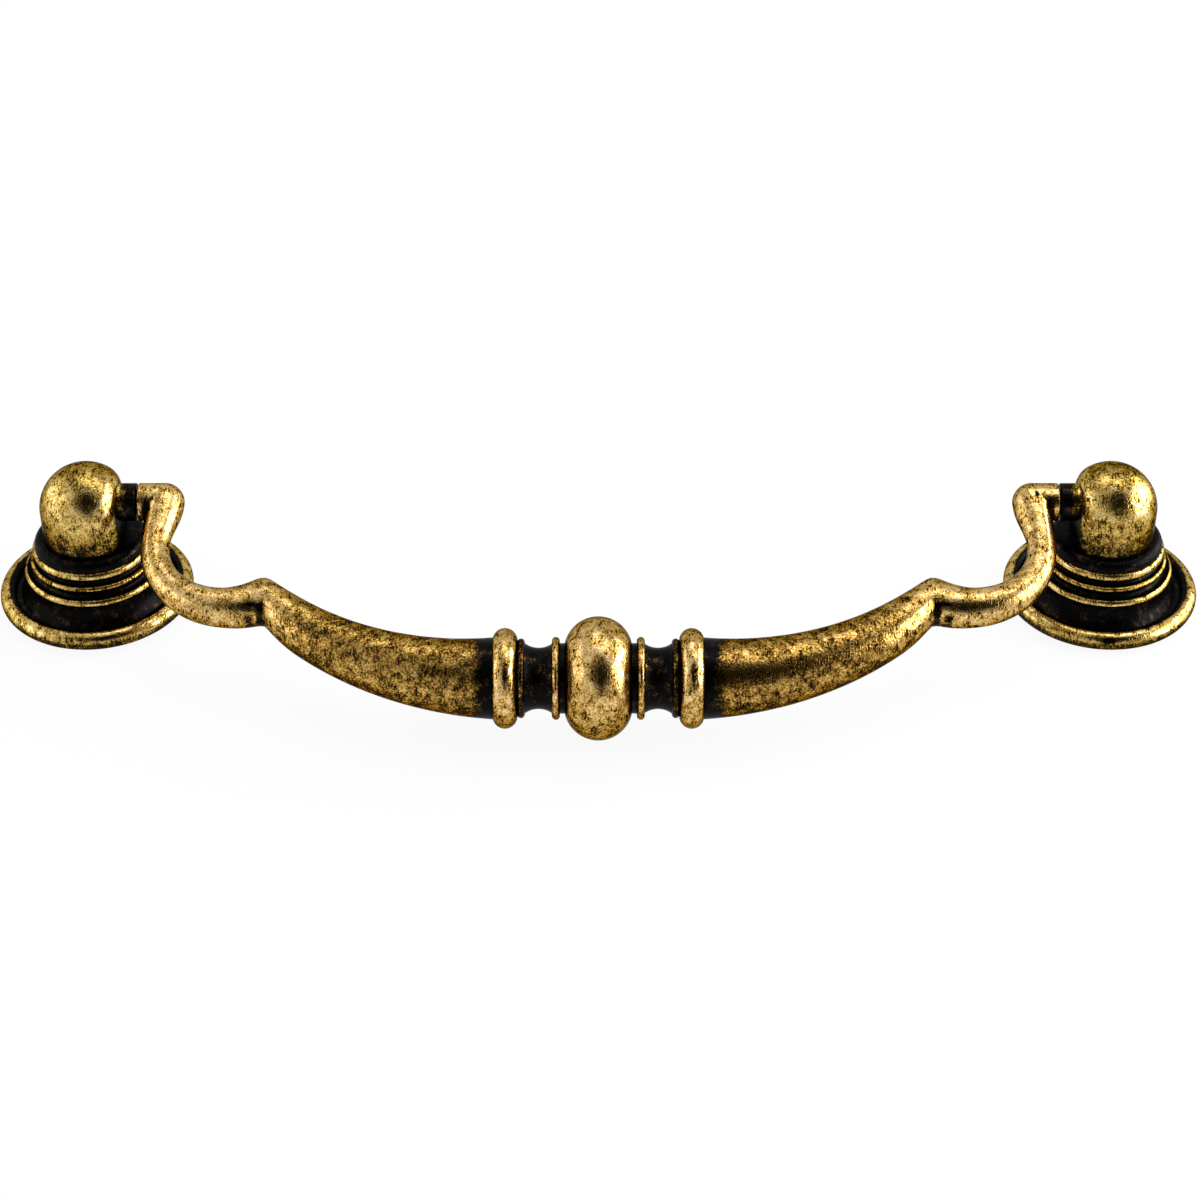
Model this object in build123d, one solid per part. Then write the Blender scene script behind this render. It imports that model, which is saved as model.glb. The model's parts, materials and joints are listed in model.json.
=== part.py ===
from build123d import *
import os
from math import asin, cos, degrees, pi

# A drop pull lying on its back: the two posts stand on the mounting plane, Z = 0, and the bail
# hangs between them with its bead against that plane. Millimetres, X along the row of posts.

# Radii of the post, each tier a step outwards from the dome
dome_radius = 5.8
neck_ledge = 0.15
shoulder_round = 1.05
upper_bead_step = 0.4
middle_bead_step = 0.4
lower_bead_step = 0.9
bead_relief = 0.4
cove_depth = 0.35
cavetto_reach = 1.2
dish_width = 0.6

# Heights of the post, each tier standing on the one below
rim_height = 2.4
dish_depth = 0.9
cavetto_height = 2.7
lower_bead_height = 1.1
cove_height = 0.75
middle_bead_height = 0.7
groove_height = 0.6
upper_bead_height = 1.15
shoulder_height = 1.35
neck_height = 3.85

# The flat on the dome's inner side, and the pivot boss that stands on it
flat_cut = 1.35
flat_round = 1.4
pivot_rise = 4.65
boss_radius = 2.37
boss_length = 2.0

# The running fit of the pin in its bore, and the room between the boss and the bail
pin_radius = 1.5
pin_length = 6.5
pin_chamfer = 0.3
pin_clearance = 0.05
end_play = 0.25

# The row of posts, and the tapped hole for the mounting screw in each
post_spacing = 128.0
screw_hole_radius = 1.65
screw_hole_depth = 9.5
screw_hole_chamfer = 0.4

# The arms of the bail: a stub beside the boss, a rounded head, a waisted shank, a bend and an elbow
stub_length = 3.2
head_radius = 2.43
head_drop = 0.05
shank_length = 6.8
shank_offset = 0.6
waist_radius = 1.78
bend_radius = 9.66
bend_thickness = 2.5
elbow_rise = 17.0
elbow_run = 1.85
mitre_half_width = 2.7
mitre_flare = 0.56

# The turned centre of the bail, from the middle outwards, and the thick end of the grip
bail_drop = 27.0
bead_radius = 7.4
bead_half_width = 4.0
groove_radius = 4.2
groove_width = 0.65
inner_ring_crest = 0.75
inner_ring_width = 0.8
waist_cove_depth = 0.55
waist_cove_width = 3.3
outer_ring_crest = 0.55
outer_ring_width = 0.9
collar_crest = 1.8
collar_width = 2.9
grip_radius = 4.88

# Places that follow from the sizes above
dish_floor = rim_height - dish_depth
lower_bead_base = dish_floor + cavetto_height
middle_bead_base = lower_bead_base + lower_bead_height + cove_height
upper_bead_base = middle_bead_base + middle_bead_height + groove_height
shoulder_base = upper_bead_base + upper_bead_height
shoulder_top = shoulder_base + shoulder_height
pivot_height = shoulder_top + pivot_rise
flat_offset = dome_radius - flat_cut
boss_reach = flat_offset + boss_length
stub_face = post_spacing / 2 - boss_reach - end_play
rest_tilt = degrees(asin((pivot_height - bead_radius) / bail_drop))


def bulge(start, end, crest):
    """An arc from start to end whose middle, level with theirs along Y, reaches X = crest."""
    return ThreePointArc(start, (crest, (start[1] + end[1]) / 2), end)


def post_foot():
    """The dished base, the cavetto and the ring mouldings, turned from one profile."""
    neck = dome_radius + neck_ledge
    upper_root = neck + shoulder_round
    upper_crest = upper_root + upper_bead_step
    middle_crest = upper_crest + middle_bead_step
    lower_crest = middle_crest + lower_bead_step
    middle_root = middle_crest - bead_relief
    lower_root = lower_crest - bead_relief
    cavetto_foot = lower_root + cavetto_reach
    dish_edge = cavetto_foot + dish_width
    rim_crest = dish_edge + dish_depth

    rim_bottom = (rim_crest, 0)
    rim_top = (rim_crest, rim_height)
    dish_outside = (dish_edge, dish_floor)
    dish_inside = (cavetto_foot, dish_floor)
    lower_start = (lower_root, lower_bead_base)
    lower_end = (lower_root, lower_bead_base + lower_bead_height)
    middle_start = (middle_root, middle_bead_base)
    middle_end = (middle_root, middle_bead_base + middle_bead_height)
    upper_start = (upper_root, upper_bead_base)
    upper_end = (upper_root, shoulder_base)
    shoulder_edge = (neck, shoulder_top)

    profile = make_face([
        Line((0, 0), rim_bottom),
        bulge(rim_bottom, rim_top, rim_crest + rim_height / 2),
        TangentArc(rim_top, dish_outside, tangent=(-1, 0)),
        Line(dish_outside, dish_inside),
        TangentArc(lower_start, dish_inside, tangent=(0, -1)),
        bulge(lower_start, lower_end, lower_crest),
        bulge(lower_end, middle_start, middle_root - cove_depth),
        bulge(middle_start, middle_end, middle_crest),
        bulge(middle_end, upper_start, upper_root - cove_depth),
        bulge(upper_start, upper_end, upper_crest),
        TangentArc(shoulder_edge, upper_end, tangent=(1, 0)),
        Line(shoulder_edge, (0, shoulder_top)),
        Line((0, shoulder_top), (0, 0)),
    ])
    return revolve(Plane.XZ * profile, Axis.Z)


def post_dome():
    """The domed head on its neck, with a round-edged flat on the side that faces +X."""
    centre = shoulder_top + neck_height
    crown = (0, centre + dome_radius)
    spring = (dome_radius, centre)
    profile = make_face([
        Line((0, shoulder_base), (dome_radius, shoulder_base)),
        Line((dome_radius, shoulder_base), spring),
        TangentArc(crown, spring, tangent=(1, 0)),
        Line(crown, (0, shoulder_base)),
    ])
    dome = revolve(Plane.XZ * profile, Axis.Z)
    dome = split(dome, Plane.YZ.offset(flat_offset), keep=Keep.BOTTOM)
    flat = dome.faces().filter_by(Axis.X)[0]
    return fillet(flat.edges().sort_by(Axis.Z)[1:], flat_round)


def post():
    """One whole post on the origin, its boss pointing along +X."""
    pivot = Plane((0, 0, pivot_height), z_dir=(1, 0, 0))
    boss = pivot * extrude(Circle(boss_radius), boss_reach)
    bore_depth = pin_length + end_play
    bore = pivot.offset(boss_reach) * extrude(Circle(pin_radius + pin_clearance), -bore_depth)
    screw_hole = extrude(Circle(screw_hole_radius), screw_hole_depth)
    mouth = Cone(screw_hole_radius + screw_hole_chamfer, screw_hole_radius, screw_hole_chamfer,
                 align=(Align.CENTER, Align.CENTER, Align.MIN))
    return post_foot() + post_dome() + boss - bore - screw_hole - mouth


def square_to(point, heading):
    """The plane through a point of the bail that stands square to a heading."""
    return Plane(point, x_dir=heading.cross(Vector(0, 0, 1)), z_dir=heading)


def station(point, heading, radius):
    """A round section of the bail, square to its heading."""
    return square_to(point, heading) * Circle(radius)


def between(first, last, fraction):
    """A size part of the way from one to another, level at both ends."""
    return last + (first - last) * (1 + cos(pi * fraction)) / 2


def pivot_end():
    """The pin and the stub behind it, turned about X, with a round end inside the arm's head."""
    stub_end = stub_face - stub_length
    pin_start = stub_face
    pin_end = stub_face + end_play + pin_length
    profile = make_face([
        Line((stub_end - boss_radius, 0), (pin_end, 0)),
        TangentArc((stub_end, boss_radius), (stub_end - boss_radius, 0), tangent=(-1, 0)),
        Polyline(
            (stub_end, boss_radius),
            (pin_start, boss_radius),
            (pin_start, pin_radius),
            (pin_end - pin_chamfer, pin_radius),
            (pin_end, pin_radius - pin_chamfer),
            (pin_end, 0),
        ),
    ])
    return revolve(profile, Axis.X)


def turned_half():
    """Half of the turned centre, about X: the bead, its fine rings and the collar."""
    ring_foot = groove_radius
    bead_end = bead_half_width
    inner_ring = bead_end + groove_width
    cove = inner_ring + inner_ring_width
    outer_ring = cove + waist_cove_width
    collar = outer_ring + outer_ring_width
    collar_end = collar + collar_width

    def moulding(first, last, rise, last_radius=ring_foot):
        middle = ((first + last) / 2, ring_foot + rise)
        return ThreePointArc((first, ring_foot), middle, (last, last_radius))

    profile = make_face([
        Line((0, 0), (0, bead_radius)),
        TangentArc((0, bead_radius), (bead_end, ring_foot), tangent=(1, 0)),
        Line((bead_end, ring_foot), (inner_ring, ring_foot)),
        moulding(inner_ring, cove, inner_ring_crest),
        moulding(cove, outer_ring, -waist_cove_depth),
        moulding(outer_ring, collar, outer_ring_crest),
        moulding(collar, collar_end, collar_crest, grip_radius),
        Line((collar_end, grip_radius), (collar_end, 0)),
        Line((collar_end, 0), (0, 0)),
    ])
    return Pos(0, -bail_drop) * revolve(profile, Axis.X), collar_end


def half_bail():
    """The half of the bail at +X, flat in the XY plane with the pivot axis on X."""
    head_centre = Vector(stub_face - stub_length, -head_drop)
    waist = head_centre + Vector(shank_offset, -shank_length)
    down = Vector(0, -1)
    inwards = Vector(-1, 0)
    shank = Spline(head_centre, waist, tangents=(down, down))
    bend = JernArc(waist, down, bend_radius, -down.get_angle(inwards) - elbow_rise)
    run = PolarLine(bend @ 1, elbow_run, direction=bend % 1)
    elbow = run @ 1
    centre, collar_end = turned_half()
    grip_line = TangentArc((collar_end, -bail_drop), elbow, tangent=-inwards)

    quarters = (0.25, 0.5, 0.75)
    mitre = square_to(elbow, inwards) * Ellipse(mitre_half_width + mitre_flare, mitre_half_width)
    arm_sections = [station(head_centre, down, head_radius)]
    for part_way in quarters:
        thickness = between(head_radius, waist_radius, part_way)
        arm_sections.append(station(shank @ part_way, shank % part_way, thickness))
    arm_sections.append(station(waist, down, waist_radius))
    for part_way in quarters:
        thickness = between(waist_radius, bend_thickness, part_way)
        arm_sections.append(station(bend @ part_way, bend % part_way, thickness))
    arm_sections.append(station(bend @ 1, bend % 1, bend_thickness))
    arm_sections.append(mitre)

    slimming = grip_radius - mitre_half_width
    grip_sections = [station(grip_line @ 0, inwards, grip_radius)]
    for part_way in quarters:
        thickness = grip_radius - slimming * part_way
        grip_sections.append(station(grip_line @ part_way, -(grip_line % part_way), thickness))
    grip_sections.append(mitre)

    limb = loft(arm_sections).fuse(loft(grip_sections), glue=True)
    head = Plane(head_centre, z_dir=-down) * Sphere(head_radius, arc_size1=0)
    return pivot_end() + head + limb + centre


def bail():
    """The whole bail, swung down until its bead rests on the mounting plane."""
    half = half_bail()
    flat_bail = half + mirror(half, Plane.YZ)
    return Pos(0, 0, pivot_height) * Rot(rest_tilt, 0, 0) * flat_bail


left_post = Pos(-post_spacing / 2, 0, 0) * post()
parts = {
    "left_post": left_post,
    "right_post": mirror(left_post, Plane.YZ),
    "bail": bail(),
}

os.makedirs("parts", exist_ok=True)
for node, solid in parts.items():
    export_step(solid, f"parts/{node}.step")
    print(node, f"{solid.volume:.1f} mm3", solid.bounding_box().size)
print(f"pivot height {pivot_height:.3f}, rest tilt {rest_tilt:.3f} degrees, stub face at {stub_face:.3f}")
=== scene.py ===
import json
import math

import bpy
import numpy as np
from mathutils import Matrix, Vector


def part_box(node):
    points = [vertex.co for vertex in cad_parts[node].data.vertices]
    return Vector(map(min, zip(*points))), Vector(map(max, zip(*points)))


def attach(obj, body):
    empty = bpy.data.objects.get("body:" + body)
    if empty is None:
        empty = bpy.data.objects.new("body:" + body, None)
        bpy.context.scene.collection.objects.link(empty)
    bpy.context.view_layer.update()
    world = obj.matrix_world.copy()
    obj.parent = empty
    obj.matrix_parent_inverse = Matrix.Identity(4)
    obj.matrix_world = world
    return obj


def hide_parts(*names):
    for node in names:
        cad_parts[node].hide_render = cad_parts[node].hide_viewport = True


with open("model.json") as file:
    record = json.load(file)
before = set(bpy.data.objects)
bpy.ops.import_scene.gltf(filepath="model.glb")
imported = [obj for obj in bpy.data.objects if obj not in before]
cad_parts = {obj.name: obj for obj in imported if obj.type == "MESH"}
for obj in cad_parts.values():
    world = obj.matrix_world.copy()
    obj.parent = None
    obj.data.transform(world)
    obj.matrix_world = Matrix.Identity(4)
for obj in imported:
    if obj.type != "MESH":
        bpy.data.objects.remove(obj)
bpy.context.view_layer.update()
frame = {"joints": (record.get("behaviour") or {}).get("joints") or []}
mm = 0.001  # pieces are modelled in millimetres and scaled to metres when they are finished
straight = 1e-6  # an arc that turns less than this, in radians, is a line
smoothAngle = math.radians(34)  # edges sharper than this stay crisp


# Small helpers for modelling by hand

def deselectAll():
    if bpy.context.object and bpy.context.object.mode != "OBJECT":
        bpy.ops.object.mode_set(mode="OBJECT")
    bpy.ops.object.select_all(action="DESELECT")


def pick(piece):
    deselectAll()
    piece.select_set(True)
    bpy.context.view_layer.objects.active = piece


def editAll(piece):
    pick(piece)
    bpy.ops.object.mode_set(mode="EDIT")
    bpy.ops.mesh.select_all(action="SELECT")


def cleanMesh(piece, apart=0.0005):
    editAll(piece)
    bpy.ops.mesh.remove_doubles(threshold=apart)
    bpy.ops.mesh.normals_make_consistent(inside=False)
    bpy.ops.object.mode_set(mode="OBJECT")


def applyPlace(piece):
    pick(piece)
    bpy.ops.object.transform_apply(location=True, rotation=True, scale=True)


def applyModifier(piece, kind, **settings):
    pick(piece)
    modifier = piece.modifiers.new(kind.lower(), kind)
    for name, value in settings.items():
        setattr(modifier, name, value)
    bpy.ops.object.modifier_apply(modifier=modifier.name)


def combine(piece, tool, operation):
    applyModifier(piece, "BOOLEAN", object=tool, operation=operation, solver="EXACT")
    bpy.data.objects.remove(tool, do_unlink=True)


def arcFrom(start, heading, end, steps):  # points after start on the arc that leaves it along heading
    start, heading, chord = Vector(start), Vector(heading).normalized(), Vector(end) - Vector(start)
    lean = math.atan2(heading.cross(chord), heading.dot(chord))
    if abs(lean) < straight:
        return [start + chord * step / steps for step in range(1, steps + 1)]
    diameter = chord.length / math.sin(lean)
    points = []
    for step in range(1, steps + 1):
        half = lean * step / steps
        points.append(start + Matrix.Rotation(half, 2) @ heading * diameter * math.sin(half))
    return points


def arcThrough(start, middle, end, steps):  # points after start on the arc through all three
    a, b, c = Vector(start), Vector(middle), Vector(end)
    bend = (b - a).cross(c - b)
    along = (b - a).length * (c - b).length * (c - a).length
    corner = math.atan2((b - a).cross(c - a), (b - a).dot(c - a))  # turn from the first chord to the whole
    lead = math.asin(max(-1, min(1, bend * (b - a).length / along)))  # half the first chord's own arc
    heading = Matrix.Rotation(-lead, 2) @ (b - a)
    return arcFrom(start, heading, end, steps) if abs(corner) > straight else [c]


def between(first, last, fraction):  # level at both ends
    return last + (first - last) * (1 + math.cos(math.pi * fraction)) / 2


def ease(part):  # 0 to 1, level at both ends
    return part * part * (3 - 2 * part)


def fade(low, high, value):  # 0 below low, 1 above high, smooth between, on numpy arrays
    return ease(np.clip((value - low) / (high - low), 0, 1))


def raised(least, share):  # from least, where share is 0, up to 1
    return least + (1 - least) * share


def places(piece):
    spots = np.empty(len(piece.data.vertices) * 3)
    piece.data.vertices.foreach_get("co", spots)
    return spots.reshape(-1, 3)


def movePlaces(piece, spots):
    piece.data.vertices.foreach_set("co", spots.ravel())
    piece.data.update()


def facing(piece):  # how far each vertex looks up, from -1 to 1
    normals = np.empty(len(piece.data.vertices) * 3, np.float32)
    piece.data.vertex_normals.foreach_get("vector", normals)
    return normals.reshape(-1, 3)[:, 2]


def setWearAndShade(piece, wear):  # 1 where rubbing has bared the brass, 0 where the dark finish is left, lowered further on some faces as painted shade
    layer = piece.data.attributes.new("wear", "FLOAT", "POINT")
    layer.data.foreach_set("value", np.clip(wear, 0, 1).astype(np.float32))


def scar(piece, at, size, edge=(0.6, 1.1)):  # a knock that has kept its dark finish
    away = np.linalg.norm((places(piece) - np.array(at)) / np.array(size), axis=1)
    layer = piece.data.attributes["wear"]
    wear = np.empty(len(away), np.float32)
    layer.data.foreach_get("value", wear)
    layer.data.foreach_set("value", (wear * fade(*edge, away)).astype(np.float32))


# Posts

post = {
    "domeRadius": 5.8, "neckHeight": 3.85, "neckLedge": 0.15, "flatCut": 1.35, "flatRound": 1.8,
    "shoulderRound": 1.05, "shoulderHeight": 1.35,
    "upperBeadStep": 0.4, "upperBeadHeight": 1.15, "grooveHeight": 0.6,
    "middleBeadStep": 0.4, "middleBeadHeight": 0.7, "coveHeight": 0.75,
    "lowerBeadStep": 0.9, "lowerBeadHeight": 1.1, "beadRelief": 0.4, "coveDepth": 0.35,
    "cavettoReach": 1.2, "cavettoHeight": 2.7, "dishWidth": 0.6, "dishDepth": 0.9, "rimHeight": 2.4,
    "bossRadius": 2.37, "bossLength": 2.0, "bossEdge": 0.15, "bossRoot": 1.5,
    "boreRadius": 1.55, "boreDepth": 6.75, "boreOver": 1.0,
    "holeRadius": 1.65, "holeDepth": 9.5, "holeChamfer": 0.4, "holeSlack": 0.01,
    "threadDepth": 0.3, "threadPitch": 0.7, "threadRings": 6,
    "footRing": 0.6,  # one more ring on the underside, as a share of the rim's radius
    "neckStart": 0.004,  # the neck's first ring, as a share of its height
    "domeEdge": 0.005,  # the dome is what lies further than this above the shoulder
    "rimSteps": 22, "dishSteps": 9, "cavettoSteps": 14, "lowerBeadSteps": 10, "coveSteps": 9,
    "middleBeadSteps": 8, "grooveSteps": 9, "upperBeadSteps": 10, "shoulderSteps": 9,
    "neckSteps": 8, "crownSteps": 36, "turns": 144, "waver": 0.02, "waverSize": 2.2,
    "darkWear": 0.03, "lowerBeadWear": 0.95, "middleBeadWear": 0.8, "upperBeadWear": 1.0, "beadEdge": 0.2,
    "rimUnderWearAndShade": 0.4, "rimShade": (0.0, 0.45), "dishShade": (0.65, 1.05), "footWear": 0.3,
    "domeFootWearAndShade": 0.4, "domeRise": 6.0, "neckShade": 0.4, "crownShade": 0.2, "crownFrom": (0.7, 0.95),
    "flatWear": 0.15, "flatBand": 0.36, "bossWear": 0.5, "bossShade": (0.3, 1.5),
    "nick": (-0.6, -11.95, 1.85), "nickSize": (1.0, 0.7, 0.4),  # on the right post's rim, from its axis
}
pivotHeight = frame["joints"][0]["pos_m"][2] / mm
leftLow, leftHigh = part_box("left_post")
postAxis = (leftLow.x + leftHigh.x) / 2 / mm  # of the left post, the right one stands opposite
flatSide = post["domeRadius"] - post["flatCut"]
bossReach = flatSide + post["bossLength"]


def postLevels():
    p = post
    levels = {"dishFloor": p["rimHeight"] - p["dishDepth"]}
    levels["lowerBead"] = levels["dishFloor"] + p["cavettoHeight"]
    levels["cove"] = levels["lowerBead"] + p["lowerBeadHeight"]
    levels["middleBead"] = levels["cove"] + p["coveHeight"]
    levels["groove"] = levels["middleBead"] + p["middleBeadHeight"]
    levels["upperBead"] = levels["groove"] + p["grooveHeight"]
    levels["shoulder"] = levels["upperBead"] + p["upperBeadHeight"]
    levels["neck"] = levels["shoulder"] + p["shoulderHeight"]
    levels["domeCentre"] = levels["neck"] + p["neckHeight"]
    return levels


def postRadii():
    p = post
    radii = {"neck": p["domeRadius"] + p["neckLedge"]}
    radii["upperRoot"] = radii["neck"] + p["shoulderRound"]
    radii["upperCrest"] = radii["upperRoot"] + p["upperBeadStep"]
    radii["middleCrest"] = radii["upperCrest"] + p["middleBeadStep"]
    radii["lowerCrest"] = radii["middleCrest"] + p["lowerBeadStep"]
    radii["middleRoot"] = radii["middleCrest"] - p["beadRelief"]
    radii["lowerRoot"] = radii["lowerCrest"] - p["beadRelief"]
    radii["cavettoFoot"] = radii["lowerRoot"] + p["cavettoReach"]
    radii["dishEdge"] = radii["cavettoFoot"] + p["dishWidth"]
    radii["rim"] = radii["dishEdge"] + p["dishDepth"]
    return radii


def postProfile(z, r):  # from the bottom of the screw hole, round the foot and up to the crown
    p = post

    def bulge(start, end, crest, steps):
        return arcThrough(start, (crest, (start[1] + end[1]) / 2), end, steps)

    rimFoot = (r["rim"], 0)
    rimTop = (r["rim"], p["rimHeight"])
    dishOutside = (r["dishEdge"], z["dishFloor"])
    dishMiddle = (r["cavettoFoot"] + p["dishWidth"] / 2, z["dishFloor"])
    dishInside = (r["cavettoFoot"], z["dishFloor"])
    lowerStart = (r["lowerRoot"], z["lowerBead"])
    lowerEnd = (r["lowerRoot"], z["cove"])
    middleStart = (r["middleRoot"], z["middleBead"])
    middleEnd = (r["middleRoot"], z["groove"])
    upperStart = (r["upperRoot"], z["upperBead"])
    upperEnd = (r["upperRoot"], z["shoulder"])
    shoulderEdge = (r["neck"], z["neck"])
    neckFoot = (p["domeRadius"], z["neck"])
    spring = (p["domeRadius"], z["domeCentre"])
    crown = (0, z["domeCentre"] + p["domeRadius"])

    wallLength = p["holeDepth"] - p["holeChamfer"]
    wallSteps = round(wallLength / (p["threadPitch"] / p["threadRings"]))
    hole = [(0, p["holeDepth"])]
    hole += [(p["holeRadius"], p["holeDepth"] - wallLength * s / wallSteps) for s in range(wallSteps + 1)]
    hole.append((p["holeRadius"] + p["holeChamfer"], 0))
    line = [Vector(spot) for spot in hole + [(r["rim"] * p["footRing"], 0), rimFoot]]
    line += bulge(rimFoot, rimTop, r["rim"] + p["rimHeight"] / 2, p["rimSteps"])
    line += arcFrom(rimTop, (-1, 0), dishOutside, p["dishSteps"])
    line += [Vector(dishMiddle), Vector(dishInside)]
    line += arcFrom(lowerStart, (0, -1), dishInside, p["cavettoSteps"])[-2::-1]
    line.append(Vector(lowerStart))
    line += bulge(lowerStart, lowerEnd, r["lowerCrest"], p["lowerBeadSteps"])
    line += bulge(lowerEnd, middleStart, r["middleRoot"] - p["coveDepth"], p["coveSteps"])
    line += bulge(middleStart, middleEnd, r["middleCrest"], p["middleBeadSteps"])
    line += bulge(middleEnd, upperStart, r["upperRoot"] - p["coveDepth"], p["grooveSteps"])
    line += bulge(upperStart, upperEnd, r["upperCrest"], p["upperBeadSteps"])
    line += arcFrom(shoulderEdge, (1, 0), upperEnd, p["shoulderSteps"])[-2::-1]
    line += [Vector(shoulderEdge), Vector(neckFoot)]
    for step in range(p["neckSteps"] + 1):
        lift = max(step / p["neckSteps"], p["neckStart"])
        line.append(Vector((p["domeRadius"], z["neck"] + p["neckHeight"] * lift)))
    line += arcFrom(spring, (0, 1), crown, p["crownSteps"])
    return line


def spinProfile(name, line):
    deselectAll()
    bpy.ops.mesh.primitive_plane_add(size=1)
    piece = bpy.context.object
    piece.name = name
    bpy.ops.object.mode_set(mode="EDIT")
    bpy.ops.mesh.select_all(action="SELECT")
    bpy.ops.mesh.merge(type="CENTER")
    bpy.ops.transform.translate(value=(line[0].x, 0, line[0].y))
    for here, there in zip(line, line[1:]):
        step = there - here
        bpy.ops.mesh.extrude_region_move(TRANSFORM_OT_translate={"value": (step.x, 0, step.y)})
    bpy.ops.mesh.select_all(action="SELECT")
    bpy.ops.mesh.spin(steps=post["turns"], angle=2 * math.pi, center=(0, 0, 0), axis=(0, 0, 1))
    bpy.ops.object.mode_set(mode="OBJECT")
    cleanMesh(piece)
    return piece


def selectEdges(piece, wanted):  # leaves the piece in edit mode
    editAll(piece)
    bpy.ops.mesh.select_all(action="DESELECT")
    bpy.ops.mesh.select_mode(type="EDGE")
    bpy.ops.object.mode_set(mode="OBJECT")
    spots = piece.data.vertices
    for edge in piece.data.edges:
        edge.select = wanted(*(spots[v].co for v in edge.vertices))
    bpy.ops.object.mode_set(mode="EDIT")


def addRod(name, radius, start, end, height, sides=72, rings=11):  # a rod along X
    deselectAll()
    middle = ((start + end) / 2, 0, height)
    bpy.ops.mesh.primitive_cylinder_add(vertices=sides, radius=radius, depth=end - start, location=middle,
                                        rotation=(0, math.pi / 2, 0))
    rod = bpy.context.object
    rod.name = name
    applyPlace(rod)
    selectEdges(rod, lambda a, b: abs(a.x - b.x) > (end - start) / 2)
    bpy.ops.mesh.subdivide(number_cuts=rings)
    bpy.ops.object.mode_set(mode="OBJECT")
    return rod


def bevelEnd(rod, at, width, segments=3, near=1e-3):
    selectEdges(rod, lambda a, b: abs(a.x - at) < near and abs(b.x - at) < near)
    bpy.ops.mesh.bevel(offset=width, segments=segments, affect="EDGES")
    bpy.ops.object.mode_set(mode="OBJECT")


def cutThread(piece):
    p = post
    spots = places(piece)
    x, y, height = spots.T
    low = p["holeChamfer"] + p["holeSlack"]
    high = p["holeDepth"] - p["holeSlack"]
    onWall = np.abs(np.hypot(x, y) - p["holeRadius"]) < p["holeSlack"]
    onWall &= (height > low) & (height < high)
    turn = height / p["threadPitch"] + np.arctan2(y, x) / (2 * np.pi)
    cut = 1 - np.abs(2 * (turn % 1) - 1)
    ends = fade(0, p["threadPitch"], p["holeDepth"] - height)
    wider = 1 + onWall * cut * ends * p["threadDepth"] / p["holeRadius"]
    spots[:, :2] *= wider[:, None]
    movePlaces(piece, spots)


def cutFlat(piece, neck):  # the dome's inner side is pressed flat, with a rounded edge
    p = post
    spots = places(piece)
    x, height = spots[:, 0], spots[:, 2]
    blend = np.clip(1 - np.abs(x - flatSide) / p["flatRound"], 0, 1)
    pressed = np.minimum(x, flatSide) - blend * blend * p["flatRound"] / 4
    spots[:, 0] = np.where(height > neck + p["domeEdge"], pressed, x)
    movePlaces(piece, spots)


def waver(piece, amount, size):  # the slight unevenness of a hand-rubbed casting
    cloud = bpy.data.textures.new("castWaver", "CLOUDS")
    cloud.noise_scale = size
    applyModifier(piece, "DISPLACE", texture=cloud, strength=amount, mid_level=0.5, texture_coords="LOCAL")


def postWearAndShade(piece, z, r):
    p = post
    x, y, height = places(piece).T
    up = facing(piece)
    out = np.hypot(x, y)
    slack = p["waver"]
    wear = np.full(len(x), p["darkWear"])
    for bead, end in (("lower", "cove"), ("middle", "groove"), ("upper", "shoulder")):
        root, top = r[bead + "Root"], r[bead + "Crest"]  # a bead is rubbed bright where it stands out
        inBand = (height > z[bead + "Bead"] - slack) & (height < z[end] + slack)
        crest = fade(root - slack, root + (top - root) * p["beadEdge"], out) * p[bead + "BeadWear"]
        wear = np.where(inBand, np.maximum(wear, crest), wear)
    rim = (out > r["dishEdge"]) & (height < p["rimHeight"] + slack)
    # the rim's lower half is darker: partly its dark finish, partly painted shade on the faces that look down
    rimWearAndShade = raised(p["rimUnderWearAndShade"], fade(*p["rimShade"], up))
    wear = np.where(rim, rimWearAndShade * fade(*p["dishShade"], out - r["dishEdge"]), wear)
    dome = height > z["neck"] + p["domeEdge"]
    # the dome darkens towards its foot, partly its dark finish and partly painted shade, and its crown is
    # darkened where it looks up, as painted shade
    domeWearAndShade = raised(p["domeFootWearAndShade"], fade(z["neck"], z["neck"] + p["domeRise"], height))
    domeWearAndShade *= fade(z["neck"], z["neck"] + p["neckShade"], height)
    domeWearAndShade *= 1 - p["crownShade"] * fade(*p["crownFrom"], up)
    wear = np.where(dome, domeWearAndShade, wear)
    # the flat stays dark below the boss and the boss is dark on its underside and towards the dome: the dark
    # finish, with painted shade under the boss
    onFlat = dome & (x > flatSide - p["flatBand"])
    aboveBoss = fade(pivotHeight, pivotHeight + p["bossRadius"], height)
    wear = np.where(onFlat, raised(p["flatWear"], aboveBoss), wear)
    boss = dome & (x > flatSide + slack)
    towardsDome = 1 - fade(*p["bossShade"], x - flatSide)
    topSide = fade(pivotHeight - p["bossRadius"] / 2, pivotHeight + p["bossRadius"] / 2, height)
    wear = np.where(boss, p["bossWear"] * towardsDome * topSide, wear)
    underside = (height < slack) & (out < r["rim"])
    inHole = (out < p["holeRadius"] + p["holeChamfer"]) & (height < p["holeDepth"] + slack)
    wear = np.where(underside | inHole, p["footWear"], wear)
    setWearAndShade(piece, wear)


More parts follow.
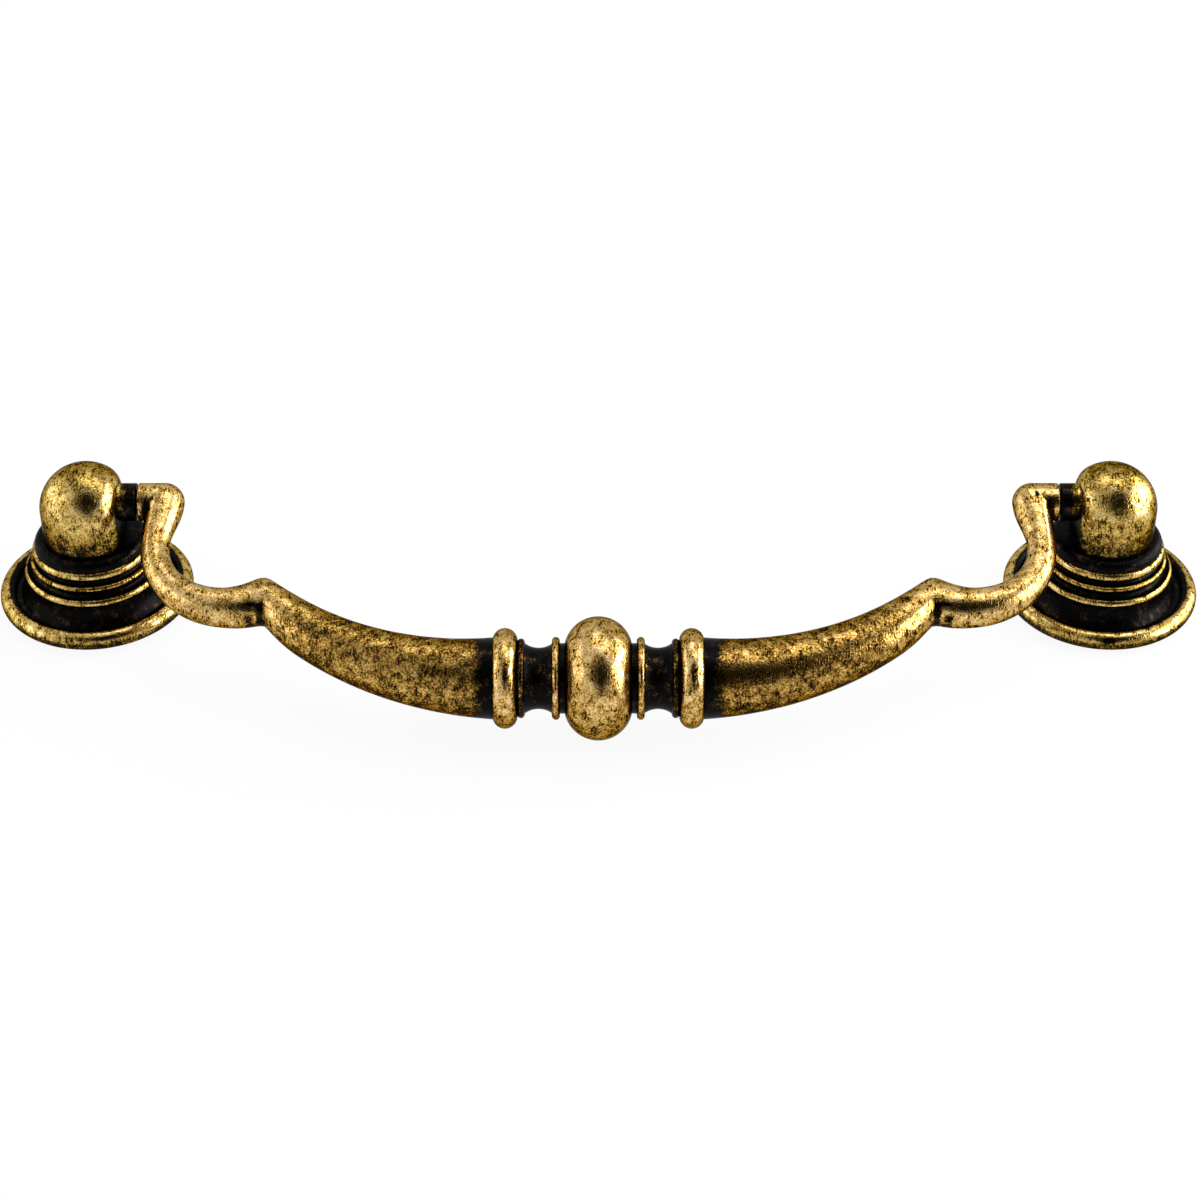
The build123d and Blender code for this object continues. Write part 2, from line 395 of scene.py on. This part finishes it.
def makePost():
    p = post
    z, r = postLevels(), postRadii()
    piece = spinProfile("leftPost", postProfile(z, r))
    cutThread(piece)
    cutFlat(piece, z["neck"])
    waver(piece, p["waver"], p["waverSize"])
    boss = addRod("boss", p["bossRadius"], flatSide - p["bossRoot"], bossReach, pivotHeight)
    bevelEnd(boss, bossReach, p["bossEdge"])
    combine(piece, boss, "UNION")
    bore = addRod("bore", p["boreRadius"], bossReach - p["boreDepth"], bossReach + p["boreOver"], pivotHeight)
    combine(piece, bore, "DIFFERENCE")
    cleanMesh(piece)
    postWearAndShade(piece, z, r)
    return piece


# Bail, modelled flat in the XY plane with the pivot axis on X, its right half first

bail = {
    "drop": 27.0, "beadRadius": 7.4, "beadHalfWidth": 4.0, "grooveRadius": 4.2, "grooveWidth": 0.65,
    "innerRingCrest": 0.75, "innerRingWidth": 0.8, "coveDepth": 0.55, "coveWidth": 3.3,
    "outerRingCrest": 0.55, "outerRingWidth": 0.9, "collarCrest": 1.8, "collarWidth": 2.9,
    "gripRadius": 4.88, "mitreHalfWidth": 2.7, "mitreFlare": 0.56, "flareLength": 6.0,
    "elbowRise": 17.0, "elbowRun": 1.85, "elbowRound": 0.9, "elbowPasses": 4,
    "bendRadius": 9.66, "bendThickness": 2.5, "waistRadius": 1.78, "shankLength": 6.8, "shankOffset": 0.6,
    "headRadius": 2.43, "headDrop": 0.05, "stubLength": 3.2, "stubRadius": 2.37, "stubEdge": 0.12,
    "pinRadius": 1.5, "pinLength": 6.5, "pinChamfer": 0.3, "pinRoot": 1.0, "endPlay": 0.25,
    "squareFrom": 0.75,  # from here on the grip's sections turn square to the mitre
    "capEnd": 0.995,  # the head's last ring stays just open
    "beadSteps": 26, "ringSteps": 10, "coveSteps": 14, "collarSteps": 22, "gripSteps": 44, "runSteps": 6,
    "bendSteps": 48, "shankSteps": 20, "capSteps": 12, "sides": 96, "waver": 0.02, "waverSize": 2.6,
    "armWear": 1.0, "gripWearAndSheen": 0.7, "gripShade": (0.72, 1.05), "paintedUnderShade": 0.8, "underShade": (-0.15, 0.5),
    "innerRingWear": 1.0, "outerRingWear": 0.38, "ringClear": 0.65, "collarClear": 0.35, "coveWear": 0.12,
    "beadShade": (0.25, 1.1), "collarShade": (0.6, 3.0), "pinWear": 0.3,
    "jointShade": 0.12, "jointReach": 1.6,
    "notch": (2.0, -2.2), "notchSize": (0.7, 1.3), "notchEdge": (0.5, 1.1),
    "creaseWidth": 0.42, "creaseSet": 0.4, "creaseEdge": (0.4, 1.5), "creaseLean": 0.75,
    "creaseFrom": (0.0, 0.4), "creaseNear": 3.0,
    "hooks": [((1.5, -0.45), (0.95, 0.36)), ((1.75, -2.7), (0.5, 1.0))], "hookEdge": (0.4, 1.1),
    "pits": [((54.4, -0.6, 2.3), (0.3, 0.5, 0.6)), ((56.2, 0.8, 1.1), (0.35, 0.4, 0.8))],
}


def turnedRings():  # (centre, heading, half width in the plane, half depth) from the bead outwards
    b = bail
    foot = b["grooveRadius"]
    marks = [b["beadHalfWidth"]]
    for part in ("grooveWidth", "innerRingWidth", "coveWidth", "outerRingWidth", "collarWidth"):
        marks.append(marks[-1] + b[part])
    beadEnd, inner, cove, outer, collar, collarEnd = marks

    def moulding(first, last, rise, steps, endRadius=foot):
        return arcThrough((first, foot), ((first + last) / 2, foot + rise), (last, endRadius), steps)

    line = arcFrom((0, b["beadRadius"]), (1, 0), (beadEnd, foot), b["beadSteps"])
    line += [Vector(((beadEnd + inner) / 2, foot)), Vector((inner, foot))]
    line += moulding(inner, cove, b["innerRingCrest"], b["ringSteps"])
    line += moulding(cove, outer, -b["coveDepth"], b["coveSteps"])
    line += moulding(outer, collar, b["outerRingCrest"], b["ringSteps"])
    line += moulding(collar, collarEnd, b["collarCrest"], b["collarSteps"], b["gripRadius"])
    rings = [(Vector((spot.x, -b["drop"])), 0.0, spot.y, spot.y) for spot in line]
    return rings, marks


def armPath():
    b = bail
    stubFace = -postAxis - bossReach - b["endPlay"]
    headCentre = Vector((stubFace - b["stubLength"], -b["headDrop"]))
    waist = headCentre + Vector((b["shankOffset"], -b["shankLength"]))
    bendCentre = waist - Vector((b["bendRadius"], 0))
    turn = math.radians(90 + b["elbowRise"])
    bendEnd = bendCentre + Vector((math.cos(-turn), math.sin(-turn))) * b["bendRadius"]
    rise = math.radians(b["elbowRise"])
    elbow = bendEnd + Vector((-math.cos(rise), math.sin(rise))) * b["elbowRun"]
    return stubFace, headCentre, bendCentre, turn, bendEnd, elbow


def gripRings(collarEnd, elbow):
    b = bail
    start = Vector((collarEnd, -b["drop"]))
    swing = 2 * math.atan2(elbow.y - start.y, elbow.x - start.x)  # how far the grip's arc turns
    mitreWidth = (b["mitreHalfWidth"] + b["mitreFlare"]) * math.cos(swing)
    rings = []
    for step, spot in enumerate(arcFrom(start, (1, 0), elbow, b["gripSteps"]), 1):
        part = step / b["gripSteps"]
        thick = b["gripRadius"] + (b["mitreHalfWidth"] - b["gripRadius"]) * part
        last = max(0.0, (part - b["squareFrom"]) / (1 - b["squareFrom"]))
        heading = swing * part * (1 - ease(last))
        across = thick + (mitreWidth - b["mitreHalfWidth"]) * last * last
        rings.append((spot, heading, across / math.cos(swing * part - heading), thick))
    return rings


def armRings(headCentre, bendCentre, turn, bendEnd, elbow):
    b = bail
    rings = []
    rise = math.radians(b["elbowRise"])
    widest = (b["mitreHalfWidth"] + b["mitreFlare"]) * math.cos(rise) - b["mitreHalfWidth"]

    def flare(away):  # how much wider than thick the arm is, some way from the elbow
        return widest * between(1, 0, min(away / b["flareLength"], 1))

    for step in range(1, b["runSteps"] + 1):
        part = step / b["runSteps"]
        heading = -rise * (1 - (1 - part) ** 2)
        thick = between(b["mitreHalfWidth"], b["bendThickness"], part)
        across = (thick + flare(part * b["elbowRun"])) / math.cos(rise + heading)
        rings.append((elbow.lerp(bendEnd, part), heading, across, thick))
    for step in range(1, b["bendSteps"] + 1):
        part = step / b["bendSteps"]
        angle = -turn * (1 - part)
        spot = bendCentre + Vector((math.cos(angle), math.sin(angle))) * b["bendRadius"]
        thick = between(b["bendThickness"], b["waistRadius"], part)
        across = thick + flare(b["elbowRun"] + part * turn * b["bendRadius"])
        rings.append((spot, angle + math.pi / 2, across, thick))
    for step in range(1, b["shankSteps"] + 1):
        part = 1 - step / b["shankSteps"]
        spot = headCentre + Vector((b["shankOffset"] * ease(part), -b["shankLength"] * part))
        slope = b["shankOffset"] * 6 * part * (1 - part) / b["shankLength"]  # the slope of ease
        thick = between(b["headRadius"], b["waistRadius"], part)
        rings.append((spot, math.pi / 2 + math.atan(slope), thick, thick))
    for step in range(1, b["capSteps"] + 1):
        angle = math.pi / 2 * min(step / b["capSteps"], b["capEnd"])
        thick = b["headRadius"] * math.cos(angle)
        spot = headCentre + Vector((0, b["headRadius"] * math.sin(angle)))
        rings.append((spot, math.pi / 2, thick, thick))
    return rings


def extrudeRings(name, first, rings):
    deselectAll()
    centre, heading, width, depth = first
    bpy.ops.mesh.primitive_circle_add(vertices=bail["sides"], radius=width, location=centre.to_3d(),
                                      rotation=(0, math.pi / 2, 0))
    piece = bpy.context.object
    piece.name = name
    applyPlace(piece)
    editAll(piece)
    for nextCentre, nextHeading, nextWidth, nextDepth in rings:
        spot = nextCentre.to_3d()
        bpy.ops.mesh.extrude_region_move(TRANSFORM_OT_translate={"value": spot - centre.to_3d()})
        if nextHeading != heading:
            bpy.ops.transform.rotate(value=heading - nextHeading, orient_axis="Z", center_override=spot)
        grow = nextWidth / width
        bpy.ops.transform.resize(value=(grow, grow, nextDepth / depth), center_override=spot)
        centre, heading, width, depth = nextCentre, nextHeading, nextWidth, nextDepth
    bpy.ops.mesh.merge(type="CENTER")  # the crown of the head
    bpy.ops.object.mode_set(mode="OBJECT")
    return piece


def softenElbow(piece, elbow):  # the ridge is rubbed round on its upper side, the crease below stays sharp
    editAll(piece)
    bpy.ops.mesh.select_all(action="DESELECT")
    bpy.ops.mesh.select_mode(type="VERT")
    bpy.ops.object.mode_set(mode="OBJECT")
    reach = bail["elbowRound"]
    for spot in piece.data.vertices:
        spot.select = abs(spot.co.x - elbow.x) < reach and spot.co.y > elbow.y - reach / 2
    bpy.ops.object.mode_set(mode="EDIT")
    bpy.ops.mesh.vertices_smooth(factor=0.5, repeat=bail["elbowPasses"])
    bpy.ops.object.mode_set(mode="OBJECT")


def addStub(stubFace):
    b = bail
    stub = addRod("stub", b["stubRadius"], stubFace - b["stubLength"], stubFace, 0)
    bevelEnd(stub, stubFace, b["stubEdge"])
    tip = stubFace + b["endPlay"] + b["pinLength"]
    pin = addRod("pin", b["pinRadius"], stubFace - b["pinRoot"], tip, 0)
    bevelEnd(pin, tip, b["pinChamfer"], 1)
    combine(stub, pin, "UNION")
    return stub


def bailWearAndShade(piece, marks, stubFace, headCentre, elbow):
    b = bail
    x, y, depth = places(piece).T
    x = np.abs(x)
    slack = b["waver"]
    beadEnd, inner, cove, outer, collar, collarEnd = marks
    foot = b["grooveRadius"]
    out = np.hypot(y + b["drop"], depth)

    def spot(aside, above, centre, size, edge):  # 0 in an oval spot that keeps its black, 1 outside it
        return fade(*edge, np.hypot((aside - centre[0]) / size[0], (above - centre[1]) / size[1]))

    # the grip brightens towards the elbow: partly wear, partly a painted highlight near the elbow
    along = (x - collarEnd) / (elbow.x - collarEnd)
    gripWearAndSheen = b["gripWearAndSheen"] + (b["armWear"] - b["gripWearAndSheen"]) * fade(*b["gripShade"], along)
    wear = np.where(along < 1, gripWearAndSheen, b["armWear"])
    wear *= np.where(y < elbow.y, fade(*b["collarShade"], x - collarEnd), 1)

    bead = fade(foot + b["beadShade"][0], foot + b["beadShade"][1], out) * b["armWear"]
    turnedWear = np.where(x < beadEnd, bead, 0)
    turnedWear = np.maximum(turnedWear, np.where((x > cove) & (x < outer), b["coveWear"], 0))
    for low, high, rise, share, clear in (
            (inner, cove, b["innerRingCrest"], b["innerRingWear"], b["ringClear"]),
            (outer, collar, b["outerRingCrest"], b["outerRingWear"], b["ringClear"]),
            (collar, collarEnd, b["collarCrest"], b["armWear"], b["collarClear"])):
        inBand = (x > low - slack) & (x < high + slack)  # only what stands out of the groove is rubbed bright
        crest = fade(foot + rise * clear, foot + rise * (clear + 1) / 2, out) * share
        turnedWear = np.where(inBand, np.maximum(turnedWear, crest), turnedWear)
    wear = np.where(x < collarEnd + slack, turnedWear, wear)

    # painted shade: faces of the bail that look down are made darker
    wear *= raised(b["paintedUnderShade"], fade(*b["underShade"], facing(piece)))
    wear *= spot(x - headCentre.x, y - headCentre.y, b["notch"], b["notchSize"], b["notchEdge"])
    besideHead = y > -b["headRadius"] * b["jointReach"]
    wear *= np.where(besideHead, fade(0, b["jointShade"], np.abs(x - stubFace)), 1)
    past = x - elbow.x  # the crease keeps its black below the middle of the elbow, mostly on the arm's side
    lift = y - elbow.y + b["creaseLean"] * np.abs(depth)
    crease = fade(*b["creaseEdge"], np.abs(past - b["creaseSet"]) / b["creaseWidth"])
    creased = 1 - (1 - crease) * fade(*b["creaseFrom"], -lift)
    wear *= np.where(np.abs(past) < b["creaseNear"], creased, 1)
    for centre, size in b["hooks"]:
        wear *= spot(past, lift, centre, size, b["hookEdge"])
    wear = np.where(x > stubFace + slack, b["pinWear"], wear)
    setWearAndShade(piece, wear)


def makeBail():
    b = bail
    turned, marks = turnedRings()
    stubFace, *path = armPath()
    headCentre, elbow = path[0], path[-1]
    rings = turned + gripRings(marks[-1], elbow) + armRings(*path)
    first = (Vector((0, -b["drop"])), 0.0, b["beadRadius"], b["beadRadius"])
    piece = extrudeRings("hangingBail", first, rings)
    softenElbow(piece, elbow)
    applyModifier(piece, "MIRROR", use_axis=(True, False, False), use_clip=True, merge_threshold=0.001)
    cleanMesh(piece)
    waver(piece, b["waver"], b["waverSize"])
    rightStub = addStub(stubFace)
    pick(rightStub)
    bpy.ops.object.duplicate()
    leftStub = bpy.context.object
    leftStub.scale.x = -1
    applyPlace(leftStub)
    cleanMesh(leftStub)
    combine(piece, rightStub, "UNION")
    combine(piece, leftStub, "UNION")
    cleanMesh(piece)
    bailWearAndShade(piece, marks, stubFace, headCentre, elbow)
    for pit in b["pits"]:
        scar(piece, *pit)
    piece.rotation_euler.x = math.asin((pivotHeight - b["beadRadius"]) / b["drop"])  # the bead touches down
    piece.location.z = pivotHeight
    applyPlace(piece)
    return piece


def toMetres(piece):
    piece.scale = (mm, mm, mm)
    applyPlace(piece)
    bpy.ops.object.shade_smooth_by_angle(angle=smoothAngle)


leftPost = makePost()
pick(leftPost)
bpy.ops.object.duplicate()
rightPost = bpy.context.object
rightPost.name = "rightPost"
leftPost.location.x = postAxis
rightPost.scale.x = -1
rightPost.location.x = -postAxis
for piece in (leftPost, rightPost):
    applyPlace(piece)
cleanMesh(rightPost)
scar(rightPost, Vector(post["nick"]) - Vector((postAxis, 0, 0)), post["nickSize"])
bailPiece = makeBail()
for piece in (leftPost, rightPost, bailPiece):
    toMetres(piece)
    print("modelled", piece.name, len(piece.data.polygons), "faces")


# Finish

class Signal:  # a shader socket that takes part in Python expressions
    def __init__(self, tree, socket=None):
        self.tree = tree
        self.socket = socket

    def add(self, kind, settings=None, inputs=None, output=0):
        node = self.tree.nodes.new(kind)
        for name, value in (settings or {}).items():
            if name == "stops":
                while len(node.color_ramp.elements) < len(value):
                    node.color_ramp.elements.new(0.5)
                for element, (place, colour) in zip(node.color_ramp.elements, value):
                    element.position = place
                    element.color = (*colour, 1)
            else:
                setattr(node, name, value)
        for name, value in (inputs or {}).items():
            if isinstance(value, Signal):
                self.tree.links.new(value.socket, node.inputs[name])
            else:
                node.inputs[name].default_value = value
        return Signal(self.tree, node.outputs[output])

    def sum(self, operation, first, second):
        return self.add("ShaderNodeMath", {"operation": operation}, {0: first, 1: second})

    def __add__(self, other):
        return self.sum("ADD", self, other)

    def __radd__(self, other):
        return self.sum("ADD", other, self)

    def __sub__(self, other):
        return self.sum("SUBTRACT", self, other)

    def __rsub__(self, other):
        return self.sum("SUBTRACT", other, self)

    def __mul__(self, other):
        return self.sum("MULTIPLY", self, other)

    def __rmul__(self, other):
        return self.sum("MULTIPLY", other, self)

    def held(self):  # kept between 0 and 1
        return self.add("ShaderNodeClamp", {}, {"Value": self})

    def tint(self, first, second):  # a colour between two, by this signal
        return self.add("ShaderNodeMix", {"data_type": "RGBA"}, {0: self, 6: first, 7: second}, 2)


noiseMean = 0.5  # what a noise node gives on average
finish = {
    "grainSize": 0.24, "grainDetail": 2.0, "grainWeight": 1.7,
    "mottleSize": 1.1, "mottleDetail": 2.0, "mottleWeight": 0.95,
    "cloudSize": 6.0, "cloudDetail": 1.0, "cloudWeight": 0.25,
    "pitSize": 0.17, "pitDetail": 1.0, "pitStretch": 0.25, "pitWeight": 0.75, "pitFrom": 0.49, "pitStep": 7.0,
    "pitPatch": 0.58, "pitPatchStep": 5.0, "speckFrom": 0.56, "speckStep": 6.0, "speckGrain": 3.0,
    "middleTone": 0.71, "fullWear": 0.95, "wearTone": 1.0,
    "bareFrom": 0.33, "bareSpread": 0.5, "bareStep": 3.5, "bareMiddle": 0.5,
    "patina": (0.0025, 0.0022, 0.0024, 1), "patinaBrown": (0.03, 0.017, 0.007, 1), "patinaMetal": 0.75,
    "yellowBrass": [(0.0, (0.022, 0.013, 0.003)), (0.3, (0.12, 0.071, 0.012)), (0.52, (0.35, 0.215, 0.04)),
                    (0.75, (0.58, 0.387, 0.09)), (1.0, (0.82, 0.615, 0.28))],
    "redBrass": [(0.0, (0.022, 0.012, 0.003)), (0.3, (0.12, 0.064, 0.011)), (0.52, (0.37, 0.207, 0.042)),
                 (0.75, (0.62, 0.386, 0.10)), (1.0, (0.87, 0.625, 0.31))],
    "brassRoughness": 0.22, "patinaRoughness": 0.2, "toneRoughness": 0.14, "evenTone": 0.5,
    "edgeTint": (0.25, 0.24, 0.23, 1), "patinaShine": 0.35,
    "bumpStrength": 0.6, "bumpDepth": 0.05, "mottleBump": 0.6, "pitBump": 0.5,
}


def agedBrass(name, tones):
    f = finish
    material = bpy.data.materials.new(name)
    material.use_nodes = True
    tree = material.node_tree
    shader = next(node for node in tree.nodes if node.type == "BSDF_PRINCIPLED")
    pen = Signal(tree)
    place = pen.add("ShaderNodeTexCoord", output="Object")
    # the bared brass and dark finish, with painted shade laid into the same values
    wear = pen.add("ShaderNodeAttribute", {"attribute_name": "wear"}, output="Fac")

    def noise(kind, where=place):
        scale = 1 / (f[kind + "Size"] * mm)
        detail = f[kind + "Detail"]
        return pen.add("ShaderNodeTexNoise", {}, {"Vector": where, "Scale": scale, "Detail": detail})

    stretch = (1, f["pitStretch"], f["pitStretch"])
    strokes = pen.add("ShaderNodeMapping", {}, {"Vector": place, "Scale": stretch})
    grain = noise("grain")
    mottle = noise("mottle")
    cloud = noise("cloud")
    pits = ((f["pitFrom"] - noise("pit", strokes)) * f["pitStep"]).held()
    pits = pits * ((f["pitPatch"] - mottle) * f["pitPatchStep"]).held()  # in patches, smooth metal between
    uneven = (grain - noiseMean) * f["grainWeight"] + (mottle - noiseMean) * f["mottleWeight"]
    uneven = uneven - pits * f["pitWeight"] + (cloud - noiseMean) * f["cloudWeight"]
    tone = (uneven + f["middleTone"] + (wear - f["fullWear"]) * f["wearTone"]).held()
    brass = tone.add("ShaderNodeValToRGB", {"stops": tones}, {"Fac": tone})
    bared = ((wear - f["bareFrom"] + uneven * f["bareSpread"]) * f["bareStep"] + f["bareMiddle"]).held()
    specks = ((mottle - f["speckFrom"]) * f["speckStep"] + (grain - noiseMean) * f["speckGrain"]).held()
    patina = specks.tint(f["patina"], f["patinaBrown"])
    roughness = bared * (f["brassRoughness"] - f["patinaRoughness"]) + f["patinaRoughness"]
    relief = grain + mottle * f["mottleBump"] - pits * f["pitBump"]
    varying = {
        "Base Color": bared.tint(patina, brass),
        "Roughness": roughness + (f["evenTone"] - tone) * f["toneRoughness"],
        "Metallic": bared * (1 - f["patinaMetal"]) + f["patinaMetal"],
        "Normal": pen.add("ShaderNodeBump", {}, {
            "Strength": f["bumpStrength"], "Distance": f["bumpDepth"] * mm, "Height": relief}),
    }
    for socket, signal in varying.items():
        tree.links.new(signal.socket, shader.inputs[socket])
    shader.inputs["Specular Tint"].default_value = f["edgeTint"]
    shader.inputs["Specular IOR Level"].default_value = f["patinaShine"]
    return material


postMetal = agedBrass("agedBrassPost", finish["yellowBrass"])
bailMetal = agedBrass("agedBrassBail", finish["redBrass"])
for piece, body, node, slot, material in (
        (leftPost, "posts", "left_post", "post_metal", postMetal),
        (rightPost, "posts", "right_post", "post_metal", postMetal),
        (bailPiece, "bail", "bail", "bail_metal", bailMetal)):
    piece.data.materials.clear()
    piece.data.materials.append(material)
    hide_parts(node)
    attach(piece, body)
print("finish laid on", postMetal.name, bailMetal.name)


# Studio

studio = {
    "floorSize": 6.0, "floorDrop": 0.0002, "floorColour": (0.94, 0.94, 0.94, 1), "floorLift": 0.92,
    "worldLight": 0.75, "worldShade": 0.0, "shadeTowards": (0.18, -0.66, 0.73), "shadeEdges": (0.77, 0.92),
    "shadeRagged": 0.3, "shadeScale": 3.0, "shadeDetail": 1.0,
    "lamps": [("leftBox", (-0.42, 0.0, 0.125), (0.50, 0.34), 0.55),
              ("rightBox", (0.42, 0.03, 0.13), (0.50, 0.34), 3.2),
              ("topBox", (0.08, 0.14, 0.48), (0.50, 0.25), 0.6)],
    "lampAim": (0, -0.012, 0.005),
    "cameraHeight": 37.73, "cameraDistance": 0.356, "cameraAim": (0.0002, -0.00125, 0),
    "lens": 83.64, "clipStart": 0.01,
}


def makeFloor():
    s = studio
    deselectAll()
    bpy.ops.mesh.primitive_plane_add(size=s["floorSize"], location=(0, 0, -s["floorDrop"]))
    floor = bpy.context.object
    floor.name = "floor"
    applyPlace(floor)
    material = bpy.data.materials.new("paleFloor")
    material.use_nodes = True
    tree = material.node_tree
    tree.nodes.clear()
    pen = Signal(tree)
    rays = pen.add("ShaderNodeLightPath").socket.node.outputs
    seen = Signal(tree, rays["Is Camera Ray"]) + Signal(tree, rays["Is Glossy Ray"])
    seen = (seen + Signal(tree, rays["Is Transmission Ray"])).held() * s["floorLift"]
    matt = pen.add("ShaderNodeBsdfDiffuse", {}, {"Color": s["floorColour"]})
    white = pen.add("ShaderNodeEmission", {}, {"Color": (1, 1, 1, 1), "Strength": 1.0})
    mixed = pen.add("ShaderNodeMixShader", {}, {0: seen, 1: matt, 2: white})
    out = tree.nodes.new("ShaderNodeOutputMaterial")
    tree.links.new(mixed.socket, out.inputs["Surface"])
    floor.data.materials.append(material)


def makeLamp(name, place, size, power):
    deselectAll()
    bpy.ops.object.light_add(type="AREA", location=place)
    lamp = bpy.context.object
    lamp.name = name
    lamp.data.shape = "RECTANGLE"
    lamp.data.size, lamp.data.size_y = size
    lamp.data.energy = power
    lamp.rotation_euler = (Vector(studio["lampAim"]) - Vector(place)).to_track_quat("-Z", "Y").to_euler()


def makeCamera():
    s = studio
    height = math.radians(s["cameraHeight"])
    back = Vector((0, -math.cos(height), math.sin(height))) * s["cameraDistance"]
    deselectAll()
    bpy.ops.object.camera_add(location=Vector(s["cameraAim"]) + back)
    camera = bpy.context.object
    camera.rotation_euler = (math.pi / 2 - height, 0, 0)
    camera.data.lens = s["lens"]
    camera.data.clip_start = s["clipStart"]
    bpy.context.scene.camera = camera


def makeWorld():  # even light, with the dark of the room behind the camera
    s = studio
    world = bpy.data.worlds.new("studio")
    bpy.context.scene.world = world
    world.use_nodes = True
    tree = world.node_tree
    background = next(node for node in tree.nodes if node.type == "BACKGROUND")
    pen = Signal(tree)
    sight = pen.add("ShaderNodeTexCoord", output="Generated")
    nearDark = pen.add("ShaderNodeVectorMath", {"operation": "DOT_PRODUCT"}, {
        0: sight, 1: s["shadeTowards"]}, "Value")
    ragged = pen.add("ShaderNodeTexNoise", {}, {
        "Vector": sight, "Scale": s["shadeScale"], "Detail": s["shadeDetail"]})
    shade = pen.add("ShaderNodeMapRange", {"interpolation_type": "SMOOTHSTEP"}, {
        "Value": nearDark + (ragged - noiseMean) * s["shadeRagged"],
        "From Min": s["shadeEdges"][0], "From Max": s["shadeEdges"][1],
        "To Min": s["worldLight"], "To Max": s["worldShade"]})
    seen = pen.add("ShaderNodeLightPath", output="Is Camera Ray")  # plain white behind the floor's far edge
    background.inputs["Color"].default_value = (1, 1, 1, 1)
    tree.links.new((shade + seen * (1 - shade)).socket, background.inputs["Strength"])


makeFloor()
makeWorld()
for lamp in studio["lamps"]:
    makeLamp(*lamp)
makeCamera()
print("studio lit by", len(studio["lamps"]), "lamps")
bpy.context.scene.view_settings.view_transform = "Standard"
